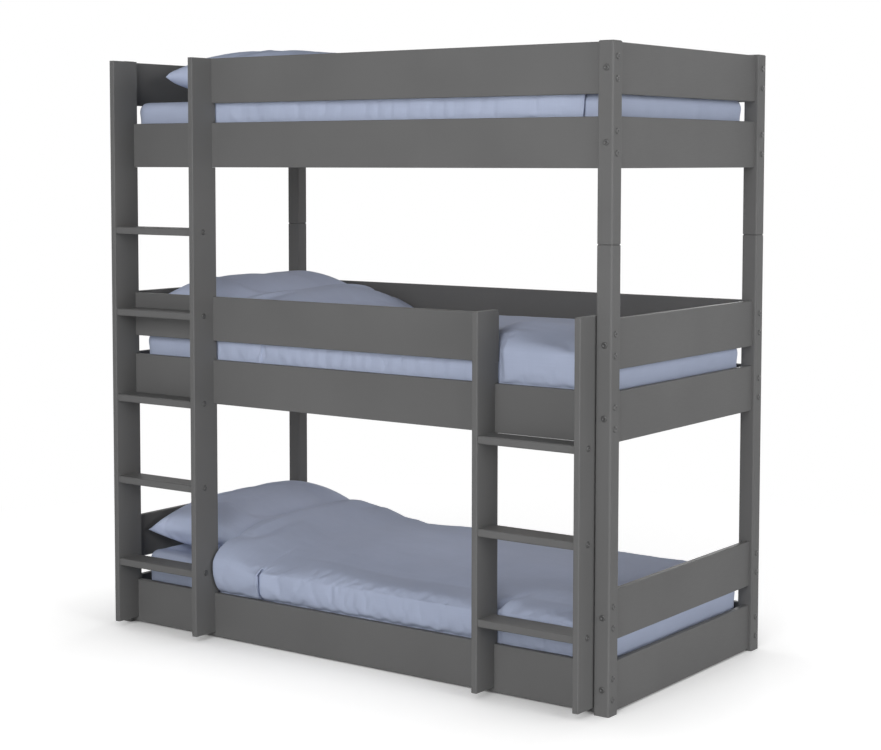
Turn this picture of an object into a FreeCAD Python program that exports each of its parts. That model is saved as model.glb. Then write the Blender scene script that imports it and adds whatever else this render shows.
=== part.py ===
import FreeCAD, Part
import math
import os

# Triple bunk bed: three single bunks in one painted timber frame, two ladders and the bedding.
# +Z is up and the floor is Z = 0. The head end is -X and the ladders stand at the front, -Y.
# The origin lies on the floor under the middle of the overall box. All sizes are millimetres.

# Frame timber
WELL_L = 1912.0           # clear length between the end boards of a bunk
WELL_W = 912.0            # clear width between the side boards of a bunk
BOARD_T = 20.0            # thickness of every rail, guard and end board
BOARD_H = 148.0           # height of every rail, guard and end board
BOARD_INSET = 13.0        # outer face of a board behind the outer face of the post
BOARD_EASE = 2.0          # eased long edges
POST_SIDE = 52.0          # square corner post
POST_R = 6.0              # rounded post corners
POST_CHAMFER = 3.0        # chamfer round the ends of a post section, but for its foot
POST_PROUD = 3.0          # post above the top guard
LOWER_POST_H = 1371.0     # height of the lower post section, up to the joint
FLOOR_GAP = 5.0           # under the lowest boards
BUNK_PITCH = 792.0        # from one bunk to the next
GUARD_GAP = 64.0          # between the lower and the upper board of a bunk

# Joints of the frame
PIN_D = 16.0              # steel pin in the joint of each post
PIN_HALF = 55.0           # reach of the pin into each post section
PIN_CLEAR = 0.1           # radial room round the pin
PIN_END_CLEAR = 2.0
TENON_L = 18.0            # stub tenon on the end of every board that a post carries
TENON_T = 10.0
TENON_SHOULDER = 20.0     # board above and below its tenon
TENON_CLEAR = 0.2         # room round a tenon in its mortise
TENON_END_CLEAR = 1.0

# Ladders
STILE_T = 20.0
STILE_REACH = 82.0        # front edge of a stile in front of the post face
STILE_LAP = 16.0          # stile behind the face of the boards that it is notched over
STILE_LIFT = 21.0         # foot of a stile above the floor
STILE_EDGE_R = 3.0
NOTCH_CLEAR = 0.5         # room above and below a board in its notch
TALL_WIDTH = 380.0
TALL_POST_GAP = 6.5       # tall ladder beside the front post at the head
SHORT_WIDTH = 373.0
SHORT_POST_GAP = 2.0      # short ladder beside the front post at the foot
SHORT_PROUD = 9.0         # short ladder above the guard of the middle bunk
TREAD_T = 24.0
TREAD_SETBACK = 5.0       # front edge of a tread behind the front edge of the stiles
TREAD_BACK_CLEAR = 3.0    # back edge of a tread in front of the boards
TREAD_HOUSING = 4.0       # depth of the housing that a tread's end sits in
TREAD_EASE = 3.0
TALL_TREAD_SHARES = (0.118, 0.265, 0.410, 0.561, 0.704)    # tread centres, of the bed's height
SHORT_TREAD_SHARES = (0.201, 0.435, 0.674)                 # of the short ladder's top

# Slatted bases
SLAT_TOP = 67.0           # top of the slats above the lower edge of the rails
SLAT_T = 18.0
SLAT_W = 70.0
SLAT_COUNT = 13
SLAT_END_CLEAR = 3.0
BEARER_T = 25.0
BEARER_H = 30.0

# Bedding
REST_GAP = 0.3            # soft pieces above what they lie on
MATTRESS_T = 158.0
MATTRESS_SIDE_GAP = 11.0
MATTRESS_HEAD_GAP = 38.0
MATTRESS_FOOT_GAP = 8.0
MATTRESS_CORNER_R = 95.0
MATTRESS_EDGE = 34.0      # how far the top of the mattress draws in at its rounded edge
MATTRESS_LEVEL_SHARES = ((0.0, 0.4), (0.1, 0.0), (0.45, 0.12), (0.78, 0.0), (0.93, 0.25), (1.0, 1.0))
PILLOW_L = 750.0          # across the bed
PILLOW_D = 490.0          # along the bed
PILLOW_SEAM = 84.0        # height of the seam above the mattress
PILLOW_CROWN = 104.0      # crown above the seam
PILLOW_BELLY = 90.0       # underside below the seam, flattened where it rests
PILLOW_SEAM_HALF = 4.0    # half the thickness at the seam
PILLOW_GAP_SHARES = (0.015, 0.06, 0.15)    # bottom to top: pillow from the head boards, of its depth
PILLOW_END_SHARES = ((0.93, 0.36), (0.72, 0.71), (0.0, 1.05))    # way out from the middle, and height
DUVET_OVER_PILLOW = 55.0  # turned-back end of the duvet over the pillow
DUVET_POST_GAP = 5.0      # foot of the duvet from the posts
DUVET_SIDE_GAP = 7.0      # hanging side from the side boards
DUVET_LOFT = 88.0         # crown above the mattress
DUVET_SHOULDER = 60.0     # height where the top turns down to the side
DUVET_SHOULDER_RUN = 78.0
DUVET_SIDE_DROP = 30.0    # where the straight side starts, below the mattress top
DUVET_TUCK = 24.0         # hem below the top of the rail
DUVET_FOOT_RUN = 320.0    # where the top starts to fall towards the foot
DUVET_FOOT_SHARES = (0.94, 0.75)    # loft half way down that fall and at the foot
SHOULDER_BEND_SHARES = (0.2, 0.64)
BULGE = 34.0              # side of the lowest duvet over its rail, where no guard holds it back
BULGE_LIFT = 2.0          # start of the bulge above the rail
BULGE_Z = 10.0            # its widest place above the mattress
BULGE_RUN = 54.0          # its shoulder
BULGE_LADDER_GAP = 2.0    # end of the bulge before the short ladder
CUFF_W = 190.0            # width of the turned-back band
CUFF_STEP = 9.0           # band above the duvet under it
CUFF_SIDE_STEP = 3.0      # band outside the hanging side
CUFF_LAP = 60.0           # duvet reaching on under the band
CUFF_T = 24.0             # band above the pillow that it covers
CUFF_LIP = 6.0            # leading edge of the band above the pillow
CUFF_NOSE = 24.0          # rounding behind that edge
CUFF_NOSE_SHARES = (0.24, 0.66)     # its bend, along and up
CUFF_EDGE_SHARE = 0.65    # thickness half way along the band
CUFF_SHOULDER = 51.0      # shoulder of the band above the pillow's seam
PILLOW_ROOM = 1.0         # duvet from the pillow
DUVET_ROOM = 0.5          # duvet from the mattress
BEVEL_RUN = 20.0          # slope of the duvet's underside over the mattress edge
BEVEL_DROP = 12.0
TENT_RUN = 92.0           # from beside the pillow to where the duvet lies on the mattress

OVERRUN = 10.0            # every cut passes the face by this much
NEAR = 0.01               # tolerance for picking edges by place

# Worked-out sizes
WALL = BOARD_INSET + BOARD_T
BED_L = WELL_L + 2 * WALL
BED_W = WELL_W + 2 * WALL
BUNK_H = 2 * BOARD_H + GUARD_GAP
GUARD_BASE = BOARD_H + GUARD_GAP
BED_H = FLOOR_GAP + 2 * BUNK_PITCH + BUNK_H + POST_PROUD
BUNKS = ("bottom", "middle", "top")
BASE_Z = [FLOOR_GAP + level * BUNK_PITCH for level in range(len(BUNKS))]
FRONT_Y = (STILE_REACH - BED_W) / 2
BACK_Y = FRONT_Y + BED_W
WELL_Y = (FRONT_Y + BACK_Y) / 2
HEAD_X = -BED_L / 2
FOOT_X = BED_L / 2
POST_X = {"head": HEAD_X, "foot": FOOT_X - POST_SIDE}
POST_Y = {"front": FRONT_Y, "back": BACK_Y - POST_SIDE}
SIDE_BOARD_Y = {"front": FRONT_Y + BOARD_INSET, "back": BACK_Y - WALL}
END_BOARD_X = {"head": HEAD_X + BOARD_INSET, "foot": FOOT_X - WALL}
WELL_HEAD_X = HEAD_X + WALL
WELL_FOOT_X = FOOT_X - WALL
TALL_X = HEAD_X + POST_SIDE + TALL_POST_GAP
SHORT_X = FOOT_X - POST_SIDE - SHORT_POST_GAP - SHORT_WIDTH
TALL_TOP = BED_H - POST_PROUD
SHORT_TOP = BASE_Z[1] + BUNK_H + SHORT_PROUD
MATTRESS_TOP = SLAT_TOP + REST_GAP + MATTRESS_T

X_AXIS = FreeCAD.Vector(1, 0, 0)
Y_AXIS = FreeCAD.Vector(0, 1, 0)
Z_AXIS = FreeCAD.Vector(0, 0, 1)

nodes = {}


def add(name, *solids):
    """Keep one named node, made of one solid or a group of separate solids."""
    nodes[name] = solids[0] if len(solids) == 1 else Part.makeCompound(list(solids))


def block(x0, y0, z0, x1, y1, z1):
    """A box between two corners."""
    return Part.makeBox(x1 - x0, y1 - y0, z1 - z0, FreeCAD.Vector(x0, y0, z0))


def edges_along(solid, axis):
    """The straight edges that run along an axis."""
    def run(edge):
        return (edge.Vertexes[-1].Point - edge.Vertexes[0].Point).normalize()

    return [edge for edge in solid.Edges if abs(run(edge) * axis) > 1 - NEAR]


def board(x0, y0, z0, x1, y1, z1, axis, ease):
    """A plank with its long edges eased."""
    plank = block(x0, y0, z0, x1, y1, z1)
    return plank.makeChamfer(ease, edges_along(plank, axis))


def side_boards(level):
    """Side boards of a bunk: side, kind, start, end and the ends that a post carries.

    The front guards stop at the ladders, where the ways in are.
    """
    head = HEAD_X + POST_SIDE
    foot = FOOT_X - POST_SIDE
    both = ("head", "foot")
    boards = [("front", "rail", head, foot, both), ("back", "rail", head, foot, both)]
    if BUNKS[level] == "middle":
        boards.append(("front", "guard", head, SHORT_X + STILE_T, ("head",)))
    if BUNKS[level] == "top":
        boards.append(("front", "guard", TALL_X + TALL_WIDTH - STILE_T, foot, ("foot",)))
    if BUNKS[level] != "bottom":
        boards.append(("back", "guard", head, foot, both))
    return boards


def board_base(level, kind):
    """Lower edge of a rail or a guard."""
    return BASE_Z[level] + (GUARD_BASE if kind == "guard" else 0)


def side_tenon(side, end, z, grow, extra):
    """Stub tenon of a side board in a post, or with growth its mortise."""
    middle = SIDE_BOARD_Y[side] + BOARD_T / 2
    depth = TENON_L + extra
    face = HEAD_X + POST_SIDE if end == "head" else FOOT_X - POST_SIDE
    x0 = face - depth if end == "head" else face
    half = TENON_T / 2 + grow
    return block(x0, middle - half, z + TENON_SHOULDER - grow, x0 + depth, middle + half,
                 z + BOARD_H - TENON_SHOULDER + grow)


def end_tenon(side, end, z, grow, extra):
    """Stub tenon of an end board in a post, or with growth its mortise."""
    middle = END_BOARD_X[end] + BOARD_T / 2
    depth = TENON_L + extra
    face = FRONT_Y + POST_SIDE if side == "front" else BACK_Y - POST_SIDE
    y0 = face - depth if side == "front" else face
    half = TENON_T / 2 + grow
    return block(middle - half, y0, z + TENON_SHOULDER - grow, middle + half, y0 + depth,
                 z + BOARD_H - TENON_SHOULDER + grow)


def make_boards():
    """All rails, guards and end boards. Returns the mortises that they need in each post."""
    mortises = {(side, end): [] for side in POST_Y for end in POST_X}
    for level, bunk in enumerate(BUNKS):
        for side, kind, x0, x1, carried in side_boards(level):
            z = board_base(level, kind)
            y = SIDE_BOARD_Y[side]
            plank = board(x0, y, z, x1, y + BOARD_T, z + BOARD_H, X_AXIS, BOARD_EASE)
            for end in carried:
                plank = plank.fuse(side_tenon(side, end, z, 0, 0))
                mortises[side, end].append(side_tenon(side, end, z, TENON_CLEAR, TENON_END_CLEAR))
            add(f"{bunk}_{side}_{kind}", plank)
        for end, x in END_BOARD_X.items():
            for kind in ("rail", "guard"):
                z = board_base(level, kind)
                plank = board(x, FRONT_Y + POST_SIDE, z, x + BOARD_T, BACK_Y - POST_SIDE, z + BOARD_H,
                              Y_AXIS, BOARD_EASE)
                for side in POST_Y:
                    plank = plank.fuse(end_tenon(side, end, z, 0, 0))
                    mortises[side, end].append(end_tenon(side, end, z, TENON_CLEAR, TENON_END_CLEAR))
                add(f"{bunk}_{end}_{kind}", plank)
    return mortises


def make_posts(mortises):
    """Corner posts in two sections, with a pin in each joint."""
    pins = []
    for (side, end), pockets in mortises.items():
        x = POST_X[end]
        y = POST_Y[side]
        joint = FreeCAD.Vector(x + POST_SIDE / 2, y + POST_SIDE / 2, LOWER_POST_H)
        half_hole = PIN_HALF + PIN_END_CLEAR
        pins.append(Part.makeCylinder(PIN_D / 2, 2 * PIN_HALF, joint - Z_AXIS * PIN_HALF))
        hole = Part.makeCylinder(PIN_D / 2 + PIN_CLEAR, 2 * half_hole, joint - Z_AXIS * half_hole)
        for name, z0, z1 in (("lower", 0, LOWER_POST_H), ("upper", LOWER_POST_H, BED_H)):
            post = block(x, y, z0, x + POST_SIDE, y + POST_SIDE, z1)
            post = post.makeFillet(POST_R, edges_along(post, Z_AXIS))
            rims = [e for e in post.Edges if e.BoundBox.ZLength < NEAR and e.BoundBox.ZMin > NEAR]
            post = post.makeChamfer(POST_CHAMFER, rims)
            add(f"{side}_{end}_{name}_post", post.cut(Part.makeCompound(pockets + [hole])))
    add("post_pins", *pins)


def notches(x, z_top):
    """Cutters where a stile is notched over the front boards that it crosses."""
    face = SIDE_BOARD_Y["front"]
    cutters = []
    for level in range(len(BUNKS)):
        for side, kind, x0, x1, _ in side_boards(level):
            z = board_base(level, kind)
            if side == "front" and x0 < x + STILE_T and x1 > x and z < z_top:
                cutters.append(block(x - OVERRUN, face, z - NOTCH_CLEAR, x + STILE_T + OVERRUN,
                                     face + STILE_LAP + OVERRUN, z + BOARD_H + NOTCH_CLEAR))
    return cutters


def make_ladder(name, x, width, top, tread_heights):
    """Two notched stiles with treads housed between them."""
    front = FRONT_Y - STILE_REACH
    back = SIDE_BOARD_Y["front"] + STILE_LAP
    tread_front = front + TREAD_SETBACK
    tread_back = SIDE_BOARD_Y["front"] - TREAD_BACK_CLEAR
    inner = x + STILE_T
    outer = x + width - STILE_T
    treads = []
    housings = []
    for height in tread_heights:
        z0 = height - TREAD_T / 2
        z1 = height + TREAD_T / 2
        span = (inner - TREAD_HOUSING, tread_front, z0, outer + TREAD_HOUSING, tread_back, z1)
        treads.append(board(*span, X_AXIS, TREAD_EASE))
        housings.append(block(*span))
    for number, tread in enumerate(treads, 1):
        add(f"{name}_ladder_tread_{number}", tread)
    for hand, stile_x in (("left", x), ("right", outer)):
        stile = block(stile_x, front, STILE_LIFT, stile_x + STILE_T, back, top)
        nosing = [e for e in edges_along(stile, Z_AXIS) if e.BoundBox.YMax < front + NEAR]
        stile = stile.makeFillet(STILE_EDGE_R, nosing)
        stile = stile.cut(Part.makeCompound(housings))
        for cutter in notches(stile_x, top):
            stile = stile.cut(cutter)
        add(f"{name}_ladder_{hand}_stile", stile)


def make_base(bunk, base):
    """Bearers along the side rails and the slats across them."""
    top = base + SLAT_TOP
    low = top - SLAT_T
    near = SIDE_BOARD_Y["front"] + BOARD_T
    far = SIDE_BOARD_Y["back"]
    bearers = [block(HEAD_X + POST_SIDE, y, low - BEARER_H, FOOT_X - POST_SIDE, y + BEARER_T, low)
               for y in (near, far - BEARER_T)]
    add(f"{bunk}_slat_bearers", *bearers)
    pitch = (WELL_L - SLAT_W) / SLAT_COUNT
    slats = []
    for index in range(SLAT_COUNT):
        x = WELL_HEAD_X + (index + 1 / 2) * pitch
        slats.append(block(x, near + SLAT_END_CLEAR, low, x + SLAT_W, far - SLAT_END_CLEAR, top))
    add(f"{bunk}_slats", *slats)


def line(a, b):
    return Part.LineSegment(a, b).toShape()


def arc(a, b, c):
    return Part.Arc(a, b, c).toShape()


def prism(outline, run):
    """A closed outline carried along a straight run."""
    return Part.Face(outline).extrude(run)


def rounded_rectangle(x0, y0, x1, y1, z, radius):
    """A closed loop of four lines and four corner arcs at one height."""
    def at(x, y):
        return FreeCAD.Vector(x, y, z)

    bend = radius * (1 - math.sqrt(1 / 2))
    edges = [
        line(at(x0 + radius, y0), at(x1 - radius, y0)),
        arc(at(x1 - radius, y0), at(x1 - bend, y0 + bend), at(x1, y0 + radius)),
        line(at(x1, y0 + radius), at(x1, y1 - radius)),
        arc(at(x1, y1 - radius), at(x1 - bend, y1 - bend), at(x1 - radius, y1)),
        line(at(x1 - radius, y1), at(x0 + radius, y1)),
        arc(at(x0 + radius, y1), at(x0 + bend, y1 - bend), at(x0, y1 - radius)),
        line(at(x0, y1 - radius), at(x0, y0 + radius)),
        arc(at(x0, y0 + radius), at(x0 + bend, y0 + bend), at(x0 + radius, y0)),
    ]
    return Part.Wire(edges)


def make_mattress(bunk, base):
    """A mattress in its fitted sheet: rounded corners, drawn-in sides and a soft upper edge."""
    low = base + SLAT_TOP + REST_GAP
    half_w = WELL_W / 2 - MATTRESS_SIDE_GAP
    loops = []
    for height_share, inset_share in MATTRESS_LEVEL_SHARES:
        inset = MATTRESS_EDGE * inset_share
        loops.append(rounded_rectangle(WELL_HEAD_X + MATTRESS_HEAD_GAP + inset, WELL_Y - half_w + inset,
                                       WELL_FOOT_X - MATTRESS_FOOT_GAP - inset, WELL_Y + half_w - inset,
                                       low + MATTRESS_T * height_share, MATTRESS_CORNER_R - inset))
    add(f"{bunk}_mattress", Part.makeLoft(loops, True, True))


def pillow_centre_x(level):
    return WELL_HEAD_X + PILLOW_D * (PILLOW_GAP_SHARES[level] + 1 / 2)


def pillow_form(level, grow):
    """A plump pillow: a lens along the bed, met at its corners by fuller ends across the bed."""
    seam = BASE_Z[level] + MATTRESS_TOP + PILLOW_SEAM
    half_d = PILLOW_D / 2 + grow
    half_l = PILLOW_L / 2 + grow
    edge = PILLOW_SEAM_HALF + grow
    crown = PILLOW_CROWN + grow
    belly = PILLOW_BELLY + grow
    (end, end_z), (turn, turn_z), (middle, middle_z) = PILLOW_END_SHARES

    def lens(x, z):
        return FreeCAD.Vector(pillow_centre_x(level) + x, WELL_Y - half_l, seam + z)

    def across(y, z):
        return FreeCAD.Vector(pillow_centre_x(level) - half_d, WELL_Y + y, seam + z)

    def end_arcs(height, foot):
        """Three arcs over the pillow from one end to the other."""
        def share(y, z):
            return across(y * half_l, z * height)

        return [
            arc(across(-half_l, foot), share(-end, end_z), share(-turn, turn_z)),
            arc(share(-turn, turn_z), share(middle, middle_z), share(turn, turn_z)),
            arc(share(turn, turn_z), share(end, end_z), across(half_l, foot)),
        ]

    side_view = Part.Wire([
        arc(lens(-half_d, edge), lens(0, crown), lens(half_d, edge)),
        line(lens(half_d, edge), lens(half_d, -edge)),
        arc(lens(half_d, -edge), lens(0, -belly), lens(-half_d, -edge)),
        line(lens(-half_d, -edge), lens(-half_d, edge)),
    ])
    end_view = Part.Wire(end_arcs(crown, edge)
                         + [line(across(half_l, edge), across(half_l, -edge))]
                         + end_arcs(-belly, -edge)[::-1]
                         + [line(across(-half_l, -edge), across(-half_l, edge))])
    return prism(side_view, Y_AXIS * 2 * half_l).common(prism(end_view, X_AXIS * 2 * half_d))


def make_pillow(bunk, level):
    """The pillow, flat where it rests on the mattress."""
    rest = BASE_Z[level] + MATTRESS_TOP + REST_GAP
    centre = pillow_centre_x(level)
    below = block(centre - PILLOW_D, WELL_Y - PILLOW_L, rest - PILLOW_BELLY,
                  centre + PILLOW_D, WELL_Y + PILLOW_L, rest)
    add(f"{bunk}_pillow", pillow_form(level, 0).cut(below))


def pillow_top(level, x):
    """Height of the pillow's crown above the mattress, at a place along the bed."""
    half = PILLOW_D / 2
    rise = PILLOW_CROWN - PILLOW_SEAM_HALF
    radius = (half ** 2 + rise ** 2) / (2 * rise)
    away = min(abs(x - pillow_centre_x(level)), half)
    return PILLOW_SEAM + PILLOW_CROWN - radius + math.sqrt(radius ** 2 - away ** 2)


def make_duvet(bunk, level):
    """A duvet over the mattress: crowned, tucked inside the rails, its head end turned back as a band."""
    top = BASE_Z[level] + MATTRESS_TOP
    hem = BASE_Z[level] + BOARD_H - DUVET_TUCK
    pillow_edge = pillow_centre_x(level) + PILLOW_D / 2
    start = pillow_edge - DUVET_OVER_PILLOW
    band_end = start + CUFF_W
    foot = FOOT_X - POST_SIDE - DUVET_POST_GAP
    side = WELL_W / 2 - DUVET_SIDE_GAP
    knee = top - DUVET_SIDE_DROP
    inside = WELL_W / 2 - MATTRESS_SIDE_GAP + DUVET_ROOM
    over_mattress = inside - BEVEL_RUN

    def along(x, z):
        """A place in the long section, on the front side of the bed."""
        return FreeCAD.Vector(x, WELL_Y - WELL_W / 2 - BULGE, z)

    def loop(*places):
        return Part.makePolygon(list(places) + [places[0]])

    def bed_wide(outline):
        return prism(outline, Y_AXIS * (WELL_W + 2 * BULGE))

    def cross_section(x0, x1, crown, shoulder, half, bulges):
        """The cloth across the bed: hem, sides, two shoulders and the crown, carried from x0 to x1."""
        def at(y, z):
            return FreeCAD.Vector(x0, WELL_Y + y, z)

        along_share, up_share = SHOULDER_BEND_SHARES
        neck = knee
        turn = half - DUVET_SHOULDER_RUN
        bend = half - along_share * DUVET_SHOULDER_RUN
        bend_z = knee + up_share * (top + shoulder - knee)
        if bulges:
            neck = BASE_Z[level] + BOARD_H + BULGE_LIFT
            turn = half - BULGE_RUN
            bend = half + BULGE
            bend_z = top + BULGE_Z
        return prism(Part.Wire([
            line(at(-half, hem), at(-half, neck)),
            arc(at(-half, neck), at(-bend, bend_z), at(-turn, top + shoulder)),
            arc(at(-turn, top + shoulder), at(0, top + crown), at(turn, top + shoulder)),
            arc(at(turn, top + shoulder), at(bend, bend_z), at(half, neck)),
            line(at(half, neck), at(half, hem)),
            line(at(half, hem), at(-half, hem)),
        ]), X_AXIS * (x1 - x0))

    free_sides = bunk == "bottom"
    covered = pillow_top(level, start)
    nose_x = start + CUFF_NOSE
    nose_foot = top + covered + CUFF_LIP
    nose_z = top + covered + CUFF_T
    bend_share, lift_share = CUFF_NOSE_SHARES
    middle_x = (nose_x + band_end) / 2
    middle_z = top + pillow_top(level, middle_x) + CUFF_T * CUFF_EDGE_SHARE
    band_z = top + DUVET_LOFT + CUFF_STEP
    band = cross_section(start, band_end, covered + CUFF_T + CUFF_STEP, PILLOW_SEAM + CUFF_SHOULDER,
                         side + CUFF_SIDE_STEP, free_sides)
    band = band.common(bed_wide(Part.Wire([
        line(along(start, hem), along(start, nose_foot)),
        arc(along(start, nose_foot),
            along(start + bend_share * CUFF_NOSE, nose_foot + lift_share * (nose_z - nose_foot)),
            along(nose_x, nose_z)),
        arc(along(nose_x, nose_z), along(middle_x, middle_z), along(band_end, band_z)),
        line(along(band_end, band_z), along(band_end, hem)),
        line(along(band_end, hem), along(start, hem)),
    ])))

    cloth_start = band_end - CUFF_LAP
    fall = foot - DUVET_FOOT_RUN
    fall_share, foot_share = DUVET_FOOT_SHARES
    flat_z = top + DUVET_LOFT + OVERRUN
    bulge_end = SHORT_X - BULGE_LADDER_GAP if free_sides else cloth_start
    cloth = cross_section(bulge_end, foot, DUVET_LOFT, DUVET_SHOULDER, side, False)
    if free_sides:
        cloth = cloth.fuse(cross_section(cloth_start, bulge_end, DUVET_LOFT, DUVET_SHOULDER, side, True))
    cloth = cloth.common(bed_wide(Part.Wire([
        line(along(cloth_start, hem), along(cloth_start, flat_z)),
        line(along(cloth_start, flat_z), along(fall, flat_z)),
        arc(along(fall, flat_z), along((fall + foot) / 2, top + DUVET_LOFT * fall_share),
            along(foot, top + DUVET_LOFT * foot_share)),
        line(along(foot, top + DUVET_LOFT * foot_share), along(foot, hem)),
        line(along(foot, hem), along(cloth_start, hem)),
    ])))

    def under(y, z):
        return FreeCAD.Vector(start - OVERRUN, WELL_Y + y, z)

    low = hem - OVERRUN
    bevel = top - BEVEL_DROP
    rest = top + DUVET_ROOM
    seam = top + PILLOW_SEAM
    over_pillow = PILLOW_L / 2 + 2 * PILLOW_ROOM
    past_pillow = pillow_edge + 2 * PILLOW_ROOM
    on_mattress = prism(loop(under(-inside, low), under(-inside, bevel), under(-over_mattress, rest),
                             under(over_mattress, rest), under(inside, bevel), under(inside, low)),
                        X_AXIS * (foot - start + 2 * OVERRUN))
    tent = prism(loop(under(-over_pillow, low), under(-over_pillow, seam), under(over_pillow, seam),
                      under(over_pillow, low)), X_AXIS * (band_end + TENT_RUN - start))
    tent = tent.common(bed_wide(loop(along(start - OVERRUN, low), along(start - OVERRUN, seam),
                                     along(past_pillow, seam), along(past_pillow + TENT_RUN, rest),
                                     along(past_pillow + TENT_RUN, low))))
    duvet = band.fuse(cloth)
    for room in (on_mattress, tent, pillow_form(level, PILLOW_ROOM)):
        duvet = duvet.cut(room)
    add(f"{bunk}_duvet", duvet)


make_posts(make_boards())
make_ladder("tall", TALL_X, TALL_WIDTH, TALL_TOP, [share * BED_H for share in TALL_TREAD_SHARES])
make_ladder("short", SHORT_X, SHORT_WIDTH, SHORT_TOP, [share * SHORT_TOP for share in SHORT_TREAD_SHARES])
for bunk_level, bunk_name in enumerate(BUNKS):
    make_base(bunk_name, BASE_Z[bunk_level])
    make_mattress(bunk_name, BASE_Z[bunk_level])
    make_pillow(bunk_name, bunk_level)
    make_duvet(bunk_name, bunk_level)

os.makedirs("parts", exist_ok=True)
for node_name, shape in nodes.items():
    shape.exportStep(f"parts/{node_name}.step")
print(len(nodes), "nodes,", sum(len(shape.Solids) for shape in nodes.values()), "solids")
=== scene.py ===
import math

import bpy
import numpy as np
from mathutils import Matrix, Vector, noise
from mathutils.bvhtree import BVHTree


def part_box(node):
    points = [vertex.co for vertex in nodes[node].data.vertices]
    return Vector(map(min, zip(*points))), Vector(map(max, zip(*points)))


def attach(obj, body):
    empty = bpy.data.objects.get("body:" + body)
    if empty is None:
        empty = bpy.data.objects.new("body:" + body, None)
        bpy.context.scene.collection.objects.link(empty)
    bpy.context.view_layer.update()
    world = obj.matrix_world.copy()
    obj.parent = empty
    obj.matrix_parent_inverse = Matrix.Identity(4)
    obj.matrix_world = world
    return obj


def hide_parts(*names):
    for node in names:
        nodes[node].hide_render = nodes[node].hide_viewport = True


# Triple bunk bed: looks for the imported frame. Metres, +Z up, head end at -X, ladders at the front, -Y.
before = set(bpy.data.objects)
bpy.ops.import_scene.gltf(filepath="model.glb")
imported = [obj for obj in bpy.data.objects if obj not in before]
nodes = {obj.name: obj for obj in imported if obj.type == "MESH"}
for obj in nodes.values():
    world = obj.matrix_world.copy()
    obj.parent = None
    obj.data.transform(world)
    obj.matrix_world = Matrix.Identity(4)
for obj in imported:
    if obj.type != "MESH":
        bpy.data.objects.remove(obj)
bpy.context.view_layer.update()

BUNKS = ("bottom", "middle", "top")
QUARTER = math.pi / 2
TINY = 1e-9
WHITE = (1.0, 1.0, 1.0, 1.0)
SEED_STEP = np.array((7.31, 3.17, 5.71))  # one seed's place in the noise from the next

# Camera, fitted to the photograph
CAMERA_PLACE = (3.6919, -5.1034, 1.6086)
CAMERA_PITCH = math.radians(4.081)
CAMERA_YAW = math.radians(36.485)
CAMERA_LENS = 76.915
CAMERA_SHIFT = (0.0425, -0.09)

# Studio: lamps on a circle round the bed, by azimuth from the front, elevation, size and level.
# At level 1 a face that is turned to the lamp shows its colour as written.
LAMP_DISTANCE = 9.0
LAMP_AIM = Vector((0.0, 0.0, 0.95))
LAMPS = {"front_lamp": (14, 18, 6.0, 0.71), "side_lamp": (80, 10, 4.5, 0.45),
         "back_lamp": (184, 11, 6.0, 0.50), "head_lamp": (-95, 12, 4.5, 0.26)}
SKY_LEVEL = 0.03  # even light from all round
FLOOR_REACH = 60.0
FLOOR_COLOUR = (0.86, 0.86, 0.86)
FLOOR_SPECKLE = (0.8428, 0.8428, 0.8428)
FLOOR_GLOW = 0.60  # bright surroundings added for the camera, so that the open floor is white
FLOOR_SHADE = 0.5  # the bed keeps them off the floor within this distance
FLOOR_NEAR = 1.7  # from the middle of the bed to where the floor starts to turn plain white
FLOOR_FAR = 3.0


def smooth_step(low, high, value):
    """0 below low, 1 above high and a soft rise between."""
    share = np.clip((value - low) / (high - low), 0, 1)
    return share * share * (3 - 2 * share)


def by_bunk(*values):
    """A value for each bunk, from the lowest up."""
    return dict(zip(BUNKS, values))


def fade_out(low, high, value):
    """1 below low, 0 above high and a soft fall between."""
    return 1 - smooth_step(low, high, value)


def noise_at(points, scale, seed):
    """Smooth noise from -1 to 1 at an array of points, with a scale per axis."""
    spots = np.asarray(points, float) * np.asarray(scale, float) + seed * SEED_STEP
    values = [noise.noise(Vector(spot)) for spot in spots.reshape(-1, 3)]
    return np.array(values).reshape(spots.shape[:-1])


def noise_on(first, second, seed):
    """Smooth noise over two arrays of flat coordinates."""
    first, second = np.broadcast_arrays(first, second)
    return noise_at(np.stack([first, second, 0 * first], axis=-1), (1, 1, 1), seed)


def spread(p, q):
    """Depth and direction out of a core rectangle for skirt depths p along X and q along Y.

    Where both are set the cell is in a corner, and the square is turned into a quarter round.
    """
    deep = np.maximum(abs(p), abs(q))
    shallow = np.minimum(abs(p), abs(q))
    turn = QUARTER / 2 * shallow / np.maximum(deep, TINY)
    sideways = abs(q) >= abs(p)
    along = np.where(sideways, np.sin(turn), np.cos(turn)) * np.sign(p)
    across = np.where(sideways, np.cos(turn), np.sin(turn)) * np.sign(q)
    return deep, along, across


def grid_normals(points):
    """Unit normals of a grid of points, rows along the first axis."""
    normals = np.cross(np.gradient(points, axis=0), np.gradient(points, axis=1))
    return normals / np.maximum(np.linalg.norm(normals, axis=2, keepdims=True), TINY)


def grid_faces(ids):
    """Quads of a grid of vertex numbers."""
    corners = [ids[:-1, :-1], ids[1:, :-1], ids[1:, 1:], ids[:-1, 1:]]
    return np.stack(corners, axis=-1).reshape(-1, 4).tolist()


def refine(grid):
    """The grid with a new row and column between each two, on a smooth curve through its points.

    A new point is the middle of the cubic through the two points on each side of it.
    """
    for axis in (0, 1):
        lines = np.moveaxis(grid, axis, 0)
        longer = np.concatenate([2 * lines[:1] - lines[1:2], lines, 2 * lines[-1:] - lines[-2:-1]])
        finer = np.repeat(lines, 2, axis=0)[:-1]
        finer[1::2] = (9 * (longer[1:-2] + longer[2:-1]) - longer[:-3] - longer[3:]) / 16
        grid = np.moveaxis(finer, 0, axis)
    return grid


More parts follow.
